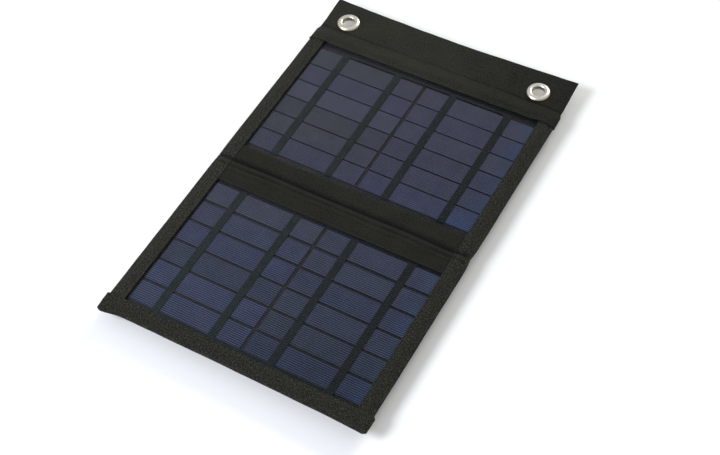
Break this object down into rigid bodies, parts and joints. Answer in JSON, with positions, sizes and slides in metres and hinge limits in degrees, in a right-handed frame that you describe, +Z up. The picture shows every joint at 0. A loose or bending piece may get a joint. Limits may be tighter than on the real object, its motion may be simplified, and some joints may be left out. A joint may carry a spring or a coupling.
{
  "type": "folding solar panel",
  "caption": "Folding camping solar panel in black cloth, with framed cell laminates, a cloth fold, a flap with eyelets and a rear USB regulator box.",
  "frame": {"origin": "bottom centre of the overall box, under the middle of the open panel, on the plane that the regulator box stands on", "axes": "+X across the panel to the right, +Y along it towards the flap, +Z up out of the cell side"},
  "size_m": [0.1806, 0.2856, 0.0143],
  "materials": {
    "cloth": "fine black polyester cloth with an olive cast",
    "tape": "coarse black twill tape",
    "board": "plain stiffener board",
    "backsheet": "satin black sheet",
    "cell": "polycrystalline silicon under an anti-reflection layer, blue-grey, with fine grid fingers",
    "ribbon": "black-coated copper ribbon",
    "film": "clear satin film",
    "eyelet": "polished nickel plate",
    "cable": "black flat two-core cable",
    "box": "fine-textured black moulding",
    "steel": "nickel-plated steel",
    "circuit": "green solder mask",
    "chip": "black moulding",
    "inductor": "dark grey ferrite",
    "capacitor": "ochre moulded case",
    "tongue": "white moulding"
  },
  "bodies": {
    "upper_half": {"upper_back_cloth": "cloth", "upper_board": "board", "upper_backsheet": "backsheet", "upper_cell_01": "cell", "upper_cell_02": "cell", "upper_cell_03": "cell", "upper_cell_04": "cell", "upper_cell_05": "cell", "upper_cell_06": "cell", "upper_cell_07": "cell", "upper_cell_08": "cell", "upper_cell_09": "cell", "upper_cell_10": "cell", "upper_cell_11": "cell", "upper_cell_12": "cell", "upper_ribbons": "ribbon", "upper_film": "film", "upper_left_binding": "tape", "upper_right_binding": "tape", "upper_fold_cloth": "cloth", "top_sleeve": "cloth", "upper_link_cable": "cable"},
    "lower_half": {"lower_back_cloth": "cloth", "lower_board": "board", "lower_backsheet": "backsheet", "lower_cell_01": "cell", "lower_cell_02": "cell", "lower_cell_03": "cell", "lower_cell_04": "cell", "lower_cell_05": "cell", "lower_cell_06": "cell", "lower_cell_07": "cell", "lower_cell_08": "cell", "lower_cell_09": "cell", "lower_cell_10": "cell", "lower_cell_11": "cell", "lower_cell_12": "cell", "lower_ribbons": "ribbon", "lower_film": "film", "lower_left_binding": "tape", "lower_right_binding": "tape", "bottom_binding": "tape", "lower_fold_cloth": "cloth", "lower_link_cable": "cable", "lower_panel_cable": "cable", "regulator_base": "box", "regulator_cover": "box", "cover_screw_1": "steel", "cover_screw_2": "steel", "circuit_board": "circuit", "converter_chip": "chip", "inductor": "inductor", "capacitor": "capacitor", "usb_shell": "steel", "usb_tongue": "tongue"},
    "flap": {"flap_cloth": "cloth", "left_eyelet": "eyelet", "right_eyelet": "eyelet", "left_washer": "eyelet", "right_washer": "eyelet"}
  },
  "joints": [
    {"name": "fold", "type": "hinge", "parent": "upper_half", "child": "lower_half", "pos_m": [0, -0.01265, 0.0141], "axis": [-1, 0, 0], "range_deg": [0, 180]},
    {"name": "flap_hinge", "type": "hinge", "parent": "upper_half", "child": "flap", "pos_m": [0, 0.11735, 0.01095], "axis": [-1, 0, 0], "range_deg": [-60, 90]}
  ]
}
